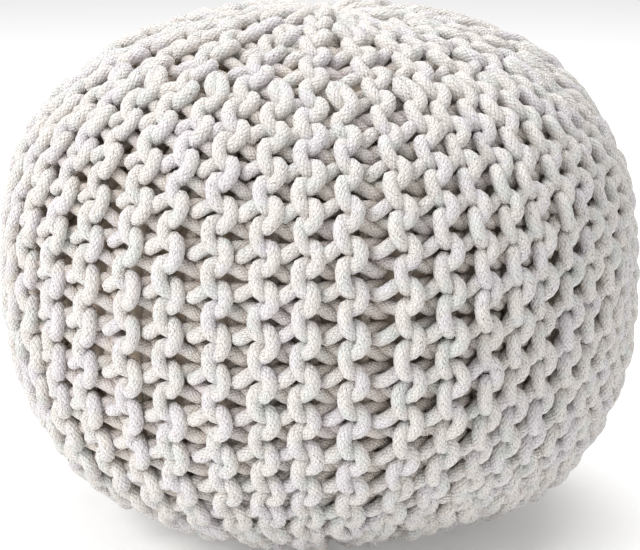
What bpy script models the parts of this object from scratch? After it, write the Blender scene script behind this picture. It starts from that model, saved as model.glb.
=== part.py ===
"""Round knitted pouf: one filled, closed form with the crown and drawn-in poles of a stuffed knitted cover.

The cover's garter ridges run from pole to pole and stand proud as ribs. Every second ridge stops short
of each pole, and every second one of those that go on stops nearer still, as short rows do in knitting.
Units are metres, +Z is up, and the origin is at the middle of the flat base.
"""

import math

import bmesh
import bpy

DIAMETER = 0.50  # over the crests of the ridges
CROWN_HEIGHT = 0.209  # from the widest level up to where the crown would peak
BELLY_DEPTH = 0.200  # from the widest level down to where the belly would end, unpressed
BASE_PRESSED = 0.004  # how much of that depth the weight flattens against the floor
CROWN_POWER = 2.53  # how full the shoulder is: 2 is an ellipse, more is squarer
BELLY_POWER = 2.62

RIDGES = 48  # at the widest level
RIDGE_DEPTH = 0.009  # from a ridge's crest down to the groove beside it
GATHER_RADIUS = 0.032  # the top is drawn in within this radius
GATHER_DEPTH = 0.010

# Where a ridge stops short of a pole: (share of the outer radius where it starts to narrow, where it is gone)
ODD_RIDGES_STOP = (0.72, 0.62)
SECOND_RIDGES_STOP = (0.38, 0.31)

ROW_SPACING = 0.0255  # between the levels of points, along the surface
FINE_STEPS = 2000  # for measuring along the profile

# Across one ridge, from its left groove: (place as a share of its width, height as a share of the depth)
RIDGE_SECTION = ((0.0, 0.0), (0.22, 0.78), (0.5, 1.0), (0.78, 0.78))

COTTON_COLOUR = (0.78, 0.76, 0.73, 1.0)
COTTON_ROUGHNESS = 0.95

OUTER_RADIUS = DIAMETER / 2
WIDEST_Z = BELLY_DEPTH - BASE_PRESSED
POINTS_PER_RIDGE = len(RIDGE_SECTION)


def smooth_step(value, low, high):
    """0 below low, 1 above high, and a smooth ramp between them."""
    share = min(max((value - low) / (high - low), 0.0), 1.0)
    return share * share * (3 - 2 * share)


def crown_or_belly(radius, height, power):
    """How far a radius lies above or below the widest level, on the crest surface."""
    return height * (1 - (radius / OUTER_RADIUS) ** power) ** (1 / power)


def base_radius():
    """The radius at which the belly meets the floor."""
    share = 1 - (WIDEST_Z / BELLY_DEPTH) ** BELLY_POWER
    return OUTER_RADIUS * share ** (1 / BELLY_POWER)


def crest_profile():
    """Closely spaced (radius, z) points of the crest surface, from the top pole to the edge of the flat base."""
    points = []
    for step in range(FINE_STEPS + 1):
        angle = math.pi / 2 * (1 - step / FINE_STEPS)
        radius = OUTER_RADIUS * math.cos(angle)
        drawn_in = GATHER_DEPTH * (1 - smooth_step(radius, 0.0, GATHER_RADIUS))
        points.append((radius, WIDEST_Z + crown_or_belly(radius, CROWN_HEIGHT, CROWN_POWER) - drawn_in))
    for step in range(1, FINE_STEPS + 1):
        angle = math.pi / 2 * step / FINE_STEPS
        radius = OUTER_RADIUS * math.cos(angle)
        if radius <= base_radius():
            break
        points.append((radius, WIDEST_Z - crown_or_belly(radius, BELLY_DEPTH, BELLY_POWER)))
    points.append((base_radius(), 0.0))
    return points


def evenly_spaced(points, spacing):
    """The profile read at equal distances along it, as (radius, z, outward normal) rows."""
    travelled = [0.0]
    for here, there in zip(points, points[1:]):
        travelled.append(travelled[-1] + math.dist(here, there))
    count = round(travelled[-1] / spacing)
    rows = []
    index = 1
    for row in range(count + 1):
        wanted = travelled[-1] * row / count
        while index < len(points) - 1 and travelled[index] < wanted:
            index += 1
        (r0, z0), (r1, z1) = points[index - 1], points[index]
        length = travelled[index] - travelled[index - 1]
        share = (wanted - travelled[index - 1]) / length
        normal = ((z0 - z1) / length, (r1 - r0) / length)
        rows.append((r0 + (r1 - r0) * share, z0 + (z1 - z0) * share, normal))
    return rows


def ridge_share(ridge, radius):
    """How wide a ridge is at a radius, beside a ridge that reaches the pole."""
    if ridge % 2:
        start, gone = ODD_RIDGES_STOP
    elif ridge % 4:
        start, gone = SECOND_RIDGES_STOP
    else:
        return 1.0
    return smooth_step(radius / OUTER_RADIUS, gone, start)


def ridge_edges(radius):
    """The angle at the left groove of each ridge, with one more to close the round. Ridge 0 is centred on angle 0."""
    shares = [ridge_share(ridge, radius) for ridge in range(RIDGES)]
    unit = 2 * math.pi / sum(shares)
    edges = [-shares[0] * unit / 2]
    for share in shares:
        edges.append(edges[-1] + share * unit)
    return edges


def surface_point(row, column):
    """The place of one point of the ridged surface."""
    radius, z, (out, up) = row
    ridge, corner = divmod(column, POINTS_PER_RIDGE)
    edges = ridge_edges(radius)
    place, height = RIDGE_SECTION[corner]
    angle = edges[ridge] + (edges[ridge + 1] - edges[ridge]) * place - math.pi / 2
    raised = height * ridge_share(ridge, radius)
    pressed = smooth_step(z, 0.0, RIDGE_DEPTH * 2)
    poleward = smooth_step(radius, GATHER_RADIUS / 2, GATHER_RADIUS * 2)
    sunk = RIDGE_DEPTH * (1 - raised) * pressed * poleward
    radius -= out * sunk
    return (radius * math.cos(angle), radius * math.sin(angle), z - up * sunk)


def spin_profile(bm, rows):
    """Turns the profile once round, and returns its points as a list for each row."""
    level = bm.verts.layers.int.new("level")
    start = [bm.verts.new((radius, 0.0, z)) for radius, z, _ in rows]
    edges = [bm.edges.new(pair) for pair in zip(start, start[1:])]
    for number, vert in enumerate(start):
        vert[level] = number
    bmesh.ops.spin(
        bm,
        geom=start + edges,
        axis=(0, 0, 1),
        cent=(0, 0, 0),
        angle=2 * math.pi,
        steps=RIDGES * POINTS_PER_RIDGE,
        use_merge=True,
    )
    levels = [[] for _ in rows]
    for vert in bm.verts:
        levels[vert[level]].append(vert)
    for verts in levels[1:]:
        verts.sort(key=lambda vert: math.atan2(vert.co.y, vert.co.x) % (2 * math.pi))
    return levels


def narrowed_away(rows, levels):
    """Points of the ridges that are gone at a level, each with the groove point that takes it in."""
    merged = {}
    for (radius, _, _), verts in zip(rows, levels):
        for ridge in range(RIDGES):
            if len(verts) == 1 or ridge_share(ridge, radius) > 0:
                continue
            kept = ridge
            while ridge_share(kept - 1, radius) == 0:
                kept -= 1
            groove = verts[kept * POINTS_PER_RIDGE]
            first = ridge * POINTS_PER_RIDGE
            for column in range(first, first + POINTS_PER_RIDGE + 1):
                vert = verts[column % len(verts)]
                if vert is not groove:
                    merged[vert] = groove
    return merged


def cotton_material():
    material = bpy.data.materials.new("cotton_cord")
    material.use_nodes = True
    shader = material.node_tree.nodes["Principled BSDF"]
    shader.inputs["Base Color"].default_value = COTTON_COLOUR
    shader.inputs["Roughness"].default_value = COTTON_ROUGHNESS
    shader.inputs["Metallic"].default_value = 0.0
    return material


def build_knitted_cover():
    """The pouf's filled form, ridged all round and flat underneath."""
    rows = evenly_spaced(crest_profile(), ROW_SPACING)
    bm = bmesh.new()
    levels = spin_profile(bm, rows)
    bmesh.ops.remove_doubles(bm, verts=levels[0], dist=1e-6)
    levels[0] = [vert for vert in levels[0] if vert.is_valid]
    for row, verts in zip(rows[1:], levels[1:]):
        for column, vert in enumerate(verts):
            vert.co = surface_point(row, column)
    bmesh.ops.weld_verts(bm, targetmap=narrowed_away(rows, levels))
    rim = [edge for edge in bm.edges if edge.is_boundary]
    bmesh.ops.contextual_create(bm, geom=rim)
    bmesh.ops.recalc_face_normals(bm, faces=bm.faces)

    mesh = bpy.data.meshes.new("knitted_cover")
    bm.to_mesh(mesh)
    bm.free()
    mesh.shade_smooth()
    mesh.set_sharp_from_angle(angle=math.radians(50))
    mesh.materials.append(cotton_material())
    cover = bpy.data.objects.new("knitted_cover", mesh)
    bpy.context.scene.collection.objects.link(cover)
    return cover


def clear_scene():
    for thing in list(bpy.data.objects):
        bpy.data.objects.remove(thing)


clear_scene()
build_knitted_cover()
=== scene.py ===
import math

import bmesh
import bpy
import numpy as np
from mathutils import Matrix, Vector


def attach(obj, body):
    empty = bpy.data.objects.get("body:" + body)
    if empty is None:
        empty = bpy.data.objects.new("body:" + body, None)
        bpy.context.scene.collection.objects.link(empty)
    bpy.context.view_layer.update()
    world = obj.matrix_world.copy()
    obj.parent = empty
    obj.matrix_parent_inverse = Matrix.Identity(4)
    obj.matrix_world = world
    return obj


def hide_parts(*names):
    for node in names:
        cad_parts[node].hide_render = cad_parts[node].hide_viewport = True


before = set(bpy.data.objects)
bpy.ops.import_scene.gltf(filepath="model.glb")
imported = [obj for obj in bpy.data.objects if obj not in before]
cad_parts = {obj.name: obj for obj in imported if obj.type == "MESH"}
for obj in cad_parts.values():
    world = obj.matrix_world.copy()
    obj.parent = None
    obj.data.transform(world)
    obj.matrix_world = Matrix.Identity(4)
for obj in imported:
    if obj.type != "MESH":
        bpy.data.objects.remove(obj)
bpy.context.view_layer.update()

# the camera, the floor and the light

camera = {
    "aim": (-0.0003, 0.0, 0.192),  # a little under the widest level
    "distance": 1.75,
    "elevation": 13.9,  # degrees above the level
    "azimuth": 2.1,  # degrees round to the right of the front
    "lens": 124.3,  # mm, on a 36 mm sensor
}

light = {
    "keyPower": 113.0,
    "keyPlace": (-2.6, -1.9, 2.3),
    "keySize": 2.2,
    "topPower": 78.0,
    "topPlace": (0.3, 0.6, 3.0),
    "topSize": 3.0,
    "fillPower": 3.0,
    "fillPlace": (2.4, -2.4, 1.2),
    "fillSize": 2.2,
    "roomStrength": 0.445,
    "floorColour": (0.95, 0.95, 0.95),
    "floorGlow": 0.16,
    "floorSize": 16.0,
}


def aimedAt(thing, target):
    thing.rotation_euler = (Vector(target) - thing.location).to_track_quat("-Z", "Y").to_euler()


def addCamera():
    data = bpy.data.cameras.new("camera")
    data.lens = camera["lens"]
    data.sensor_width = 36.0
    data.clip_end = 50.0
    eye = bpy.data.objects.new("camera", data)
    bpy.context.scene.collection.objects.link(eye)
    up = math.radians(camera["elevation"])
    around = math.radians(camera["azimuth"])
    level = camera["distance"] * math.cos(up)
    eye.location = Vector(camera["aim"]) + Vector((
        level * math.sin(around),
        -level * math.cos(around),
        camera["distance"] * math.sin(up),
    ))
    aimedAt(eye, camera["aim"])
    bpy.context.scene.camera = eye


def addLamp(name, place, power, size):
    data = bpy.data.lights.new(name, "AREA")
    data.energy = power
    data.size = size
    lamp = bpy.data.objects.new(name, data)
    bpy.context.scene.collection.objects.link(lamp)
    lamp.location = place
    aimedAt(lamp, (0, 0, 0.2))


def addRoom():
    addLamp("keyLamp", light["keyPlace"], light["keyPower"], light["keySize"])
    addLamp("topLamp", light["topPlace"], light["topPower"], light["topSize"])
    addLamp("fillLamp", light["fillPlace"], light["fillPower"], light["fillSize"])
    world = bpy.data.worlds.new("room")
    world.use_nodes = True
    sky = world.node_tree.nodes["Background"]
    sky.inputs["Color"].default_value = (1, 1, 1, 1)
    sky.inputs["Strength"].default_value = light["roomStrength"]
    bpy.context.scene.world = world
    bpy.context.scene.view_settings.view_transform = "Standard"

    bm = bmesh.new()
    bmesh.ops.create_grid(bm, x_segments=1, y_segments=1, size=light["floorSize"] / 2)
    bmesh.ops.translate(bm, verts=bm.verts, vec=(0, 0, -0.0004))
    mesh = bpy.data.meshes.new("floor")
    bm.to_mesh(mesh)
    bm.free()
    paint = bpy.data.materials.new("floorPaint")
    paint.use_nodes = True
    shader = paint.node_tree.nodes["Principled BSDF"]
    shader.inputs["Base Color"].default_value = (*light["floorColour"], 1)
    shader.inputs["Roughness"].default_value = 0.9
    shader.inputs["Emission Color"].default_value = (1, 1, 1, 1)
    shader.inputs["Emission Strength"].default_value = light["floorGlow"]
    mesh.materials.append(paint)
    floor = bpy.data.objects.new("floor", mesh)
    bpy.context.scene.collection.objects.link(floor)


addCamera()
addRoom()
print("camera and room in place")

# the pouf's form

form = {
    "radius": 0.25,  # over the crests of the ridges
    "crownHeight": 0.209,
    "bellyDepth": 0.200,
    "basePressed": 0.004,
    "crownPower": 2.53,
    "bellyPower": 2.62,
    "gatherRadius": 0.034,  # both poles are drawn in within this radius
    "gatherDepth": 0.012,
    "gatherAtBase": 0.8,  # how much of that depth the base has
    "pressedSoftness": 0.0012,  # how softly the flat of the base begins
    "poleOpening": 0.0005,
    "fabricDepth": 0.0138,  # from the crests in to the middle of the knitting
    "lumps": 0.0016,  # how far the filling pushes the knitting in and out
    # strength of each wave of lumps, how many round the pouf and down it, and where it starts
    "lumpWaves": ((1, 3, 17, 0.6), (0.8, 5, -23, 2.1), (0.6, 11, 31, 4.0)),
}


def smoothStep(value, low, high):
    share = np.clip((value - low) / (high - low), 0, 1)
    return share * share * (3 - 2 * share)


def fabricProfile():
    # the middle of the knitting, from pole to pole: the length along it, radius, height,
    # the two parts of the way out, and the length along the crests
    turn = np.linspace(0, math.pi / 2, 3000)
    radius = form["radius"]
    share = np.sin(turn)
    crown = form["crownHeight"] * (1 - share ** form["crownPower"]) ** (1 / form["crownPower"])
    belly = form["bellyDepth"] * (1 - share ** form["bellyPower"]) ** (1 / form["bellyPower"])
    crestR = np.concatenate([share, share[::-1][1:]]) * radius
    crestZ = np.concatenate([crown, -belly[::-1][1:]]) + form["bellyDepth"] - form["basePressed"]
    alongR, alongZ = np.gradient(crestR), np.gradient(crestZ)
    length = np.hypot(alongR, alongZ)
    r = crestR + alongZ / length * form["fabricDepth"]
    z = crestZ - alongR / length * form["fabricDepth"]
    crestArc = np.concatenate([[0], np.cumsum(np.hypot(np.diff(crestR), np.diff(crestZ)))])
    keep = r > form["poleOpening"]
    r, z, crestArc = r[keep], z[keep], crestArc[keep]
    level = form["fabricDepth"]  # where the base is pressed flat
    soft = form["pressedSoftness"]
    z = level + soft * np.logaddexp(0, (z - level) / soft)
    drawn = form["gatherDepth"] * (1 - smoothStep(r, 0, form["gatherRadius"]))
    z = z - np.where(z > form["bellyDepth"] / 2, drawn, -drawn * form["gatherAtBase"])
    arc = np.concatenate([[0], np.cumsum(np.hypot(np.diff(r), np.diff(z)))])
    even = np.linspace(0, arc[-1], 1500)
    r, z, crestArc = (np.interp(even, arc, values) for values in (r, z, crestArc))
    alongR, alongZ = np.gradient(r), np.gradient(z)
    length = np.hypot(alongR, alongZ)
    outR, outZ = -alongZ / length, alongR / length
    evened = np.hanning(41) / np.hanning(41).sum()
    outR, outZ = (np.convolve(np.pad(v, 20, "edge"), evened, "valid") for v in (outR, outZ))
    length = np.hypot(outR, outZ)
    return even, r, z, outR / length, outZ / length, crestArc


profile = fabricProfile()


def radiusAt(arc):
    return np.interp(arc, profile[0], profile[1])


def lumpAt(arc, angle):
    # slow swellings of the filling
    swelling = 0
    for strength, often, down, start in form["lumpWaves"]:
        swelling = swelling + strength * np.sin(often * angle + down * arc + start)
    return form["lumps"] * swelling


def onFabric(arc, angle, out):
    # points at a distance along the profile, round the pouf, and out of the knitting's middle
    out = out + lumpAt(arc, angle)
    r = radiusAt(arc) + np.interp(arc, profile[0], profile[3]) * out
    z = np.interp(arc, profile[0], profile[2]) + np.interp(arc, profile[0], profile[4]) * out
    return np.stack([r * np.sin(angle), -r * np.cos(angle), z], -1)


# one garter stitch, relaxed

stitch = {
    "width": 0.0284,  # from one loop to the next along its row
    "cord": 0.0099,  # thickness of the cord
    "pressed": 0.0064,  # how near two cords' middles come where they press
    "points": 24,
    "usualPitch": 0.0327,  # ridge to ridge where the loops below are drawn
    # mm along the ridge, across it and out, from the middle of each loop's bump to the next
    "leftLoop": (
        (0.3, -6, 8.5), (4.8, -5.4, 8.3), (8.4, -3, 6.4), (9.6, 2.4, 2.4), (9, 9, -1), (8, 15, -4),
        (6.5, 20.5, -6.5), (9.5, 25, -8.6), (18.2, 26.5, -8.8), (26, 25, -7.5), (27.3, 20.5, -4),
        (24, 14.4, -1.2), (21.5, 8, 0), (20.1, 2.5, 1), (20.2, -1.8, 4), (22.4, -5.4, 7.6),
    ),
    "rightLoop": (
        (0, 7.3, 9.2), (4, 6.4, 9.2), (6.8, 3, 8.6), (8, -1, 6.2), (7.8, -6, 0.8), (7.4, -12, -2),
        (6.8, -18.5, -6), (9.5, -24.5, -8.6), (18.2, -26.5, -8.8), (26, -25, -7), (28.6, -18.5, 3.6),
        (25, -12.5, 5.6), (21.8, -7.5, 4.6), (20.4, -2, 1.6), (21, 2.5, 4.6), (23.8, 6.3, 8.2),
    ),
    "stagger": 0.0143,  # how far the right bumps lie after the left ones
    "rounds": 50,
    "stiffness": 0.25,
    "hold": 0.12,  # how firmly the loops keep to the shapes drawn
    "tension": 0.25,
    "taken": 0.97,  # length of cord in a loop, against the length drawn
    "ridgeHalf": 0.006,  # half of a ridge keeps its width where the valleys narrow
    "overlap": 0.004,  # how far a loop's foot reaches past the valley's middle
    "pitches": (0.012, 0.016, 0.020, 0.025, 0.030, 0.036, 0.043),
}


def drawnLoop(name, pitch):
    knots = np.array(stitch[name]) / 1000
    knots = np.concatenate([knots, knots[:1] + (stitch["width"], 0, 0)])
    across = np.abs(knots[:, 1])
    narrowed = (pitch / 2 + stitch["overlap"]) / (stitch["usualPitch"] / 2 + stitch["overlap"])
    far = np.maximum(across - stitch["ridgeHalf"], 0) * narrowed
    knots[:, 1] = np.sign(knots[:, 1]) * (np.minimum(across, stitch["ridgeHalf"]) + far)
    run = np.concatenate([[0], np.cumsum(np.sqrt((np.diff(knots, axis=0) ** 2).sum(1)))])
    places = np.arange(stitch["points"]) / stitch["points"] * run[-1]
    return np.stack([np.interp(places, run, knots[:, axis]) for axis in range(3)], -1), run[-1]


def relaxedStitch(pitch):
    # two rows' loops in their cell: [row, point, (along the ridge, across it, out)]
    count = stitch["points"]
    width = stitch["width"]
    left, leftRun = drawnLoop("leftLoop", pitch)
    right, rightRun = drawnLoop("rightLoop", pitch)
    right[:, 0] += stitch["stagger"]
    drawn = np.stack([left, right])
    step = np.array([leftRun, rightRun])[:, None] / count * stitch["taken"]
    rows = drawn.copy()
    images = [(row, i, j) for row in (0, 1) for i in range(-2, 3) for j in range(-2, 3)]
    shift = np.array([(i * width, j * pitch, 0) for _, i, j in images])
    order = np.arange(count)
    near = np.zeros((2, count, len(images), count), bool)  # pairs that are one stretch of cord
    for number, (row, i, j) in enumerate(images):
        if j == 0:
            gap = np.abs(order[:, None] - (order[None, :] + i * count))
            near[row, :, number, :] = gap <= 3

    def shifted(rows, places):
        moved = np.roll(rows, -places, 1)
        if places > 0:
            moved[:, -places:, 0] += width
        else:
            moved[:, :-places, 0] -= width
        return moved

    for _ in range(stitch["rounds"]):
        bend = shifted(rows, -2) - 4 * shifted(rows, -1) + 6 * rows
        bend = bend - 4 * shifted(rows, 1) + shifted(rows, 2)
        rows = rows - bend / 16 * stitch["stiffness"]
        rows = rows + (drawn - rows) * stitch["hold"]
        others = np.stack([rows[row] for row, _, _ in images]) + shift[:, None]
        apart = rows[:, :, None, None] - others[None, None]
        distance = np.sqrt((apart ** 2).sum(-1)) + 1e-9
        short = np.where((distance < stitch["pressed"]) & ~near, stitch["pressed"] - distance, 0)
        push = (apart / distance[..., None] * short[..., None] * 0.5).sum((2, 3))
        rows = rows + push / np.maximum((short > 0).sum((2, 3)), 1)[..., None]
        for _ in range(2):
            ahead = shifted(rows, 1) - rows
            length = np.sqrt((ahead ** 2).sum(-1))
            pull = ahead / length[..., None] * ((length - step) * stitch["tension"])[..., None]
            rows = rows + pull - np.roll(pull, 1, 1)
    return rows


stitchShapes = np.stack([relaxedStitch(pitch) for pitch in stitch["pitches"]])
print("stitches relaxed")

# the knitting

knit = {
    "ridges": 48,
    "pitch": 0.0302,  # from stitch to stitch along a crest
    "phase": 0.69,  # where the first left bump lies, in stitches from the top
    "stops": (0.007, 0.156, 0.064, 0.156),  # how far from the top every four ridges turn back
    "baseStops": (-0.001, 0.156, 0.064, 0.156),  # and how far from the middle of the base
    "turnRoom": 0.013,  # what the turn of cord at a ridge's end takes up
    "turnReach": 0.030,  # how far that turn swings out
    "poleRoom": 0.004,  # how near a pole a cord may come
    "leastRadius": 0.008,  # nearer the poles than this, a ridge stops fanning out
    "sides": 2,  # bevel resolution of the cord
    "spread": 8.5,  # degrees by which the ridges crowd to the right
    "shift": 0.4,
    "stretches": ((-5.2, -62, 30), (1.7, 24, 13), (-0.9, 4, 6)),  # degrees moved, where, how wide
    "waver": (0.35, 9, 2.4),  # degrees a ridge sways, how often, and the step to the next
    "sag": 0.018,  # how much longer the stitches hang on the left
    "sagRound": (0, 60, 75, 150),  # degrees round to the left: starts, is full, fades, ends
    "sagDown": (0.25, 0.6, 0.7, 1.0),  # and shares of the way down
    "squeezed": 1.3,  # most that crowding makes a ridge narrower
    "groups": 6,  # pieces that the ridges are shared among
    "jitter": 0.0010,
    "uneven": (0.0012, 0.9, 0.35),  # how far whole rows of stitches rise and dip
    "thickJitter": 0.045,
    "thickEvery": 12,  # points of the path from one thicker or thinner place to the next
    "plump": 0.09,  # how much thicker the cord is where it bulges out
    "plumpOut": (0.002, 0.008),
    "sunkOver": 0.018,  # depth over which the cord takes on its shade
    "floorGap": 0.0004,
    "squashedDepth": 0.006,  # how much of the cord the floor presses flat
    "squashedShare": 0.05,  # what is left of that depth
    "seed": 11,
}
wholeCrest = profile[5][-1]


def stitchArc(place):
    return np.interp(knit["pitch"] * (place + knit["phase"]), profile[5], profile[0])


def reachOf(ridge):
    # first and last stitch of a ridge
    top = knit["stops"][ridge % 4] + knit["turnRoom"]
    base = wholeCrest - knit["baseStops"][ridge % 4] - knit["turnRoom"] - knit["pitch"] / 2
    inside = [n for n in range(40) if top < (n + knit["phase"]) * knit["pitch"] < base]
    return inside[0], inside[-1]


reaches = [reachOf(ridge) for ridge in range(knit["ridges"])]
stitchCount = max(last for first, last in reaches) + 1
print("stitches from pole to pole:", stitchCount, reaches[:4], round(wholeCrest, 4))


def ridgePlace(ridge):
    # the knitting is stretched wider on the left than on the right
    angle = 2 * math.pi * ridge / knit["ridges"]
    turned = math.degrees((angle + math.pi) % (2 * math.pi) - math.pi)
    wander = knit["spread"] * (math.cos(angle) - 1) + knit["shift"]
    for moved, middle, width in knit["stretches"]:
        wander += moved * math.exp(-((turned - middle) / width) ** 2)
    return angle + math.radians(wander)


def ridgeAngle(ridge, arc):
    sway, often, step = knit["waver"]
    return ridgePlace(ridge) + math.radians(sway) * np.sin(often * arc + step * ridge)


def hump(value, start, full, fading, end):
    return smoothStep(value, start, full) * (1 - smoothStep(value, fading, end))


def sagAt(ridge, arc):
    # on the left the stitches hang long over the upper half and short below
    turned = (360 * ridge / knit["ridges"] + 180) % 360 - 180
    hang = hump(-turned, *knit["sagRound"])
    return knit["sag"] * hang * hump(arc / profile[0][-1], *knit["sagDown"])


def squeezedAcross(ridge, across):
    # where the ridges crowd, their two rows of loops stand closer together
    spacing = (ridgePlace(ridge + 1) - ridgePlace(ridge - 1)) / 2
    usual = 2 * math.pi / knit["ridges"]
    squeeze = np.clip((usual / spacing) ** 2, 1, knit["squeezed"])
    near = np.clip(across, -stitch["ridgeHalf"], stitch["ridgeHalf"])
    return across - near + near / squeeze


def gapTo(ridge, side):
    # how many ridge spacings away the next ridge is, at each stitch, softened
    raw = []
    ridges = knit["ridges"]
    for n in range(-1, stitchCount + 1):
        held = min(max(n, reaches[0][0]), reaches[0][1])
        there = [first <= held <= last for first, last in reaches]
        gaps = (gap for gap in range(1, ridges + 1) if there[(ridge + side * gap) % ridges])
        raw.append(next(gaps))
    return np.convolve(raw, (0.25, 0.5, 0.25), "valid")


def rowPath(ridge, row, chance):
    # the cord of one row, with its loops' feet at the ends
    first, last = reaches[ridge]
    count = stitch["points"]
    steps = np.arange((last - first) * count + 1)
    place = first + steps / count
    base = stitchArc(place + 0.25)
    side = 1 if row == 0 else -1
    gaps = np.interp(place, np.arange(stitchCount), gapTo(ridge, side))
    pitch = gaps * abs(ridgePlace(ridge + side) - ridgePlace(ridge)) * radiusAt(base)
    pitches = np.array(stitch["pitches"])
    pitch = np.clip(pitch, pitches[0], pitches[-1] - 1e-6)
    low = np.searchsorted(pitches, pitch, "right") - 1
    share = ((pitch - pitches[low]) / (pitches[low + 1] - pitches[low]))[:, None]
    point = steps % count
    loop = stitchShapes[low, row, point] * (1 - share) + stitchShapes[low + 1, row, point] * share
    arc = stitchArc(first + steps // count + loop[:, 0] / stitch["width"])
    knots = np.arange(-2, 2 * (last - first) + 4) / 2 + first
    wobble = chance.normal(0, knit["jitter"], (len(knots), 3))
    moved = np.stack([np.interp(place, knots, wobble[:, axis]) for axis in range(3)], -1)
    dip, stepRound, stepDown = knit["uneven"]
    arc = arc + moved[:, 0] + dip * np.sin(stepRound * ridge + stepDown * place)
    across = loop[:, 1] + moved[:, 1]
    out = loop[:, 2] + moved[:, 2]
    return arc, across, out


def uTurn(start, end, towards, count=5):
    # a short bend of cord that joins two rows' ends
    t = np.linspace(0, 1, count + 2)[1:-1, None]
    reach = np.array([towards * knit["turnReach"], 0, 0])
    return (
        (2 * t ** 3 - 3 * t ** 2 + 1) * start
        + (t ** 3 - 2 * t ** 2 + t) * reach
        + (-2 * t ** 3 + 3 * t ** 2) * end
        - (t ** 3 - t ** 2) * reach
    )


def ridgePath(ridge, chance):
    # one ridge's two rows as a closed round of cord: down the left loops and up the right ones
    left = np.stack(rowPath(ridge, 0, chance), -1)
    right = np.stack(rowPath(ridge, 1, chance), -1)[::-1]
    low, high = uTurn(left[-1], right[0], 1), uTurn(right[-1], left[0], -1)
    arc, across, out = np.concatenate([left, low, right, high]).T
    arc = np.clip(arc, profile[0][0] + knit["poleRoom"], profile[0][-1] - knit["poleRoom"])
    arc = arc + sagAt(ridge, arc)
    across = squeezedAcross(ridge, across)
    angle = ridgeAngle(ridge, arc) + across / np.maximum(radiusAt(arc), knit["leastRadius"])
    return onFabric(arc, angle, out), out


def cordMesh(name, paths, thickness, chance):
    # the cords swept as one mesh, with a UV map in metres along the cord and turns round it
    meshes, paintedShadeDepth = [], []
    for (path, out), closed in paths:
        data = bpy.data.curves.new(name, "CURVE")
        data.dimensions = "3D"
        data.bevel_depth = thickness / 2
        data.bevel_resolution = knit["sides"]
        spline = data.splines.new("POLY")
        spline.points.add(len(path) - 1)
        spline.points.foreach_set("co", np.c_[path, np.ones(len(path))].ravel().astype(np.float32))
        knots = np.arange(0, len(path) + knit["thickEvery"], knit["thickEvery"])
        thicker = chance.normal(0, knit["thickJitter"], len(knots))
        swell = 1 + np.interp(np.arange(len(path)), knots, thicker)
        swell = swell + knit["plump"] * smoothStep(out, *knit["plumpOut"])
        spline.points.foreach_set("radius", swell.astype(np.float32))
        spline.use_cyclic_u = closed
        spline.use_smooth = True
        holder = bpy.data.objects.new(name, data)
        mesh = bpy.data.meshes.new_from_object(holder)
        bpy.data.objects.remove(holder)
        length = float(np.sqrt((np.diff(path, axis=0) ** 2).sum(1)).sum())
        uv = np.zeros(len(mesh.loops) * 2, np.float32)
        mesh.uv_layers[0].data.foreach_get("uv", uv)
        uv[0::2] = uv[0::2] * length + chance.uniform(0, 40)
        mesh.uv_layers[0].data.foreach_set("uv", uv)
        meshes.append(mesh)
        # how deep each ring lies in the knitting, kept for the painted shade in the material
        paintedShadeDepth.append(np.repeat(0.5 - out / knit["sunkOver"], len(mesh.vertices) // len(path)))
        assert len(paintedShadeDepth[-1]) == len(mesh.vertices), "a cord's rings don't match its path"
    bm = bmesh.new()
    for mesh in meshes:
        bm.from_mesh(mesh)
        bpy.data.meshes.remove(mesh)
    whole = bpy.data.meshes.new(name)
    bm.to_mesh(whole)
    bm.free()
    depth = whole.attributes.new("paintedShadeDepth", "FLOAT", "POINT")
    depth.data.foreach_set("value", np.concatenate(paintedShadeDepth).astype(np.float32))
    return whole


def rested(mesh):
    # cords under the base press flat on the floor
    co = np.zeros(len(mesh.vertices) * 3, np.float32)
    mesh.vertices.foreach_get("co", co)
    above = co[2::3] - knit["floorGap"]
    squashed = np.clip(above, -knit["squashedDepth"], 0) * knit["squashedShare"]
    co[2::3] = knit["floorGap"] + np.maximum(above, 0) + squashed
    mesh.vertices.foreach_set("co", co)


def addPiece(name, mesh, material):
    mesh.shade_smooth()
    mesh.materials.clear()
    mesh.materials.append(material)
    piece = bpy.data.objects.new(name, mesh)
    bpy.context.scene.collection.objects.link(piece)
    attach(piece, "root")
    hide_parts("knitted_cover")
    return piece


# the finishes

cotton = {
    "ivory": (0.90, 0.862, 0.828),
    "cool": (0.825, 0.852, 0.835),
    "blush": (0.868, 0.838, 0.872),
    # painted shade: the colour that deep cords and the braid's grooves are darkened toward; the
    # grain's darker fibres use it too
    "shade": (0.66, 0.54, 0.44),  # deep between the stitches
    "fleck": (0.16, 0.13, 0.11),
    "coolScale": 55,
    "blushScale": 40,
    "tintRange": (0.50, 0.64),
    # stretch along the cord, scale, detail and roughness of its patterns
    "fibre": (0.35, 1150, 3, 0.6),
    "lump": (0.7, 300, 1, 0.5),
    "speck": (0.45, 1400, 2, 0.6),
    # from where to where each darkening comes in, and how strong it gets
    "fleckShare": (0.60, 0.66, 0.85),
    "grainShare": (0.52, 0.36, 0.20),
    # painted shade in the grooves between the braid's plies
    "grooveShadeShare": (0.48, 0.1, 0.36),
    # painted shade on cords that lie deep in the knitting
    "sunkShadeShare": (0.25, 1.0, 0.75),
    "roughness": 0.95,
    "sheen": 0.15,
    "plies": 10,
    "plyTurns": 300,  # ply crossings in a metre of cord
    "relief": 0.0016,
    "braidHeight": 0.55,
    "fibreHeight": 0.9,
    "shine": 0.2,
}


def newMaterial(name):
    material = bpy.data.materials.new(name)
    material.use_nodes = True
    tree = material.node_tree
    return material, tree, tree.nodes["Principled BSDF"]


def node(tree, kind, **settings):
    made = tree.nodes.new(kind)
    for key, value in settings.items():
        setattr(made, key, value)
    return made


def mathNode(tree, operation, a, b=0.0):
    made = node(tree, "ShaderNodeMath", operation=operation)
    for socket, value in zip(made.inputs, (a, b)):
        if isinstance(value, (int, float)):
            socket.default_value = value
        else:
            tree.links.new(value, socket)
    return made.outputs[0]


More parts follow.
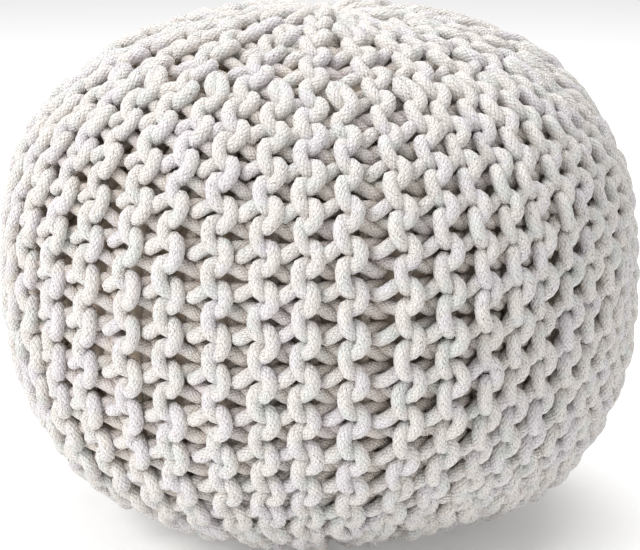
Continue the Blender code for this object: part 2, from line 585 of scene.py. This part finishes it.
def mixNode(tree, factor, a, b):
    made = node(tree, "ShaderNodeMix", data_type="RGBA")
    for socket, value in zip((made.inputs[0], made.inputs[6], made.inputs[7]), (factor, a, b)):
        if isinstance(value, tuple):
            socket.default_value = (*value, 1)
        else:
            tree.links.new(value, socket)
    return made.outputs[2]


def noiseNode(tree, vector, scale, detail=2.0, roughness=0.5):
    made = node(tree, "ShaderNodeTexNoise")
    tree.links.new(vector, made.inputs["Vector"])
    made.inputs["Scale"].default_value = scale
    made.inputs["Detail"].default_value = detail
    made.inputs["Roughness"].default_value = roughness
    return made.outputs["Fac"]


def rampNode(tree, value, low, high):
    made = node(tree, "ShaderNodeMapRange", clamp=True)
    tree.links.new(value, made.inputs["Value"])
    made.inputs["From Min"].default_value = low
    made.inputs["From Max"].default_value = high
    return made.outputs["Result"]


def shareNode(tree, value, low, high, most):
    # how much of another colour shows: none at low, the most at high
    return mathNode(tree, "MULTIPLY", rampNode(tree, value, low, high), most)


def cottonCord():
    material, tree, shader = newMaterial("cottonCord")
    uv = node(tree, "ShaderNodeUVMap", uv_map="UVMap")
    split = node(tree, "ShaderNodeSeparateXYZ")
    tree.links.new(uv.outputs["UV"], split.inputs[0])
    along, turn = split.outputs[0], split.outputs[1]
    angle = mathNode(tree, "MULTIPLY", turn, 2 * math.pi)
    radius = stitch["cord"] / 2
    across = mathNode(tree, "MULTIPLY", mathNode(tree, "COSINE", angle), radius)
    upward = mathNode(tree, "MULTIPLY", mathNode(tree, "SINE", angle), radius)

    def onCord(stretch):
        # a place on the cord, with patterns drawn out along it
        made = node(tree, "ShaderNodeCombineXYZ")
        tree.links.new(mathNode(tree, "MULTIPLY", along, stretch), made.inputs[0])
        tree.links.new(across, made.inputs[1])
        tree.links.new(upward, made.inputs[2])
        return made.outputs[0]

    patterns = []
    for name in ("fibre", "lump", "speck"):
        stretch, *settings = cotton[name]
        patterns.append(noiseNode(tree, onCord(stretch), *settings))
    fibre, lump, speck = patterns

    # plies of the braid, wound both ways
    plies = []
    for sign in (1, -1):
        wound = mathNode(tree, "MULTIPLY", turn, sign * cotton["plies"])
        phase = mathNode(tree, "ADD", mathNode(tree, "MULTIPLY", along, cotton["plyTurns"]), wound)
        wave = mathNode(tree, "SINE", mathNode(tree, "MULTIPLY", phase, math.pi))
        plies.append(mathNode(tree, "ABSOLUTE", wave))
    braid = mathNode(tree, "POWER", mathNode(tree, "MULTIPLY", *plies), 0.5)

    place = node(tree, "ShaderNodeTexCoord").outputs["Object"]
    paintedShadeDepth = node(tree, "ShaderNodeAttribute", attribute_name="paintedShadeDepth").outputs["Fac"]
    coolness = rampNode(tree, noiseNode(tree, place, cotton["coolScale"], 2), *cotton["tintRange"])
    blushing = rampNode(tree, noiseNode(tree, place, cotton["blushScale"], 1), *cotton["tintRange"])
    flecked = shareNode(tree, speck, *cotton["fleckShare"])
    grain = shareNode(tree, fibre, *cotton["grainShare"])
    # painted shade: the grooves between the braid's plies are darkened
    paintedShadeGroove = shareNode(tree, braid, *cotton["grooveShadeShare"])
    # painted shade: the deeper a cord lies in the knitting, the darker its colour
    paintedShadeDeep = shareNode(tree, paintedShadeDepth, *cotton["sunkShadeShare"])
    colour = mixNode(tree, coolness, cotton["ivory"], cotton["cool"])
    colour = mixNode(tree, blushing, colour, cotton["blush"])
    colour = mixNode(tree, flecked, colour, cotton["fleck"])
    # the grain is the cord's own darker fibres; the groove and depth darkenings are painted shade
    for shaded in (grain, paintedShadeGroove, paintedShadeDeep):
        colour = mixNode(tree, shaded, colour, cotton["shade"])
    tree.links.new(colour, shader.inputs["Base Color"])

    height = mathNode(tree, "MULTIPLY", braid, cotton["braidHeight"])
    for surface in (fibre, lump):
        raised = mathNode(tree, "MULTIPLY", surface, cotton["fibreHeight"])
        height = mathNode(tree, "ADD", height, raised)
    bump = node(tree, "ShaderNodeBump")
    bump.inputs["Strength"].default_value = 1.0
    bump.inputs["Distance"].default_value = cotton["relief"]
    tree.links.new(height, bump.inputs["Height"])
    tree.links.new(bump.outputs["Normal"], shader.inputs["Normal"])
    shader.inputs["Roughness"].default_value = cotton["roughness"]
    shader.inputs["Sheen Weight"].default_value = cotton["sheen"]
    shader.inputs["Specular IOR Level"].default_value = cotton["shine"]
    return material


casing = {
    "colour": (0.82, 0.685, 0.55),
    "worn": 0.72,  # brightness of its darker patches
    "wornScale": 30,
    "wornRange": (0.35, 0.65),
    "weaveScale": 1400,
    "weaveRelief": 0.0004,
    "roughness": 0.95,
    "depth": 0.0100,  # how far under the knitting's middle it lies
    "floorGap": 0.002,
    "fill": 0.85,
    "rows": 90,
    "steps": 192,
}


def casingCloth():
    material, tree, shader = newMaterial("casingCloth")
    place = node(tree, "ShaderNodeTexCoord").outputs["Object"]
    weave = noiseNode(tree, place, casing["weaveScale"])
    tone = noiseNode(tree, place, casing["wornScale"])
    dark = tuple(casing["worn"] * part for part in casing["colour"])
    colour = mixNode(tree, rampNode(tree, tone, *casing["wornRange"]), casing["colour"], dark)
    tree.links.new(colour, shader.inputs["Base Color"])
    bump = node(tree, "ShaderNodeBump")
    bump.inputs["Strength"].default_value = 0.4
    bump.inputs["Distance"].default_value = casing["weaveRelief"]
    tree.links.new(weave, bump.inputs["Height"])
    tree.links.new(bump.outputs["Normal"], shader.inputs["Normal"])
    shader.inputs["Roughness"].default_value = casing["roughness"]
    return material


def addKnitting(material):
    chance = np.random.default_rng(knit["seed"])
    each = knit["ridges"] // knit["groups"]
    for group in range(knit["groups"]):
        ridges = range(group * each, (group + 1) * each)
        paths = [(ridgePath(ridge, chance), True) for ridge in ridges]
        mesh = cordMesh(f"knitRidges{group + 1}", paths, stitch["cord"], chance)
        rested(mesh)
        piece = addPiece(f"knitRidges{group + 1}", mesh, material)
        print("knitted", piece.name, len(mesh.polygons) * 2, "triangles")


gather = {
    "turns": 2.6,
    "nearest": 0.004,  # from the pole to the cord's start
    "width": 0.013,  # from its start to its end
    "depth": 0.004,
    "cord": 0.8,  # thickness against the knitted cord's
    "points": 70,
}


def addGathers(material):
    # the drawn-in cord at each pole, wound flat
    chance = np.random.default_rng(knit["seed"] + 1)
    turn = np.linspace(0, 2 * math.pi * gather["turns"], gather["points"])
    reach = gather["nearest"] + gather["width"] * turn / turn[-1]
    low = np.full(gather["points"], -gather["depth"])
    thickness = stitch["cord"] * gather["cord"]
    for name, pole, way in (("topGather", profile[0][0], 1), ("baseGather", profile[0][-1], -1)):
        path = onFabric(pole + way * reach, turn, low)
        mesh = cordMesh(name, [((path, low), False)], thickness, chance)
        rested(mesh)
        addPiece(name, mesh, material)
    print("poles drawn in")


def addCasing():
    bm = bmesh.new()
    arcs = np.linspace(profile[0][0], profile[0][-1], casing["rows"])
    start = []
    for arc in arcs:
        at = onFabric(arc, 0.0, -casing["depth"])
        start.append(bm.verts.new((0.0, at[1], max(at[2], casing["floorGap"]))))
    start[0].co.y = start[-1].co.y = 0
    edges = [bm.edges.new(pair) for pair in zip(start, start[1:])]
    bmesh.ops.spin(
        bm, geom=start + edges, axis=(0, 0, 1), cent=(0, 0, 0),
        angle=2 * math.pi, steps=casing["steps"], use_merge=True,
    )
    bmesh.ops.remove_doubles(bm, verts=bm.verts, dist=1e-6)
    bmesh.ops.recalc_face_normals(bm, faces=bm.faces)
    mesh = bpy.data.meshes.new("casing")
    bm.to_mesh(mesh)
    bm.free()
    piece = addPiece("casing", mesh, casingCloth())
    print("casing made")


cordMaterial = cottonCord()
addKnitting(cordMaterial)
addGathers(cordMaterial)
addCasing()
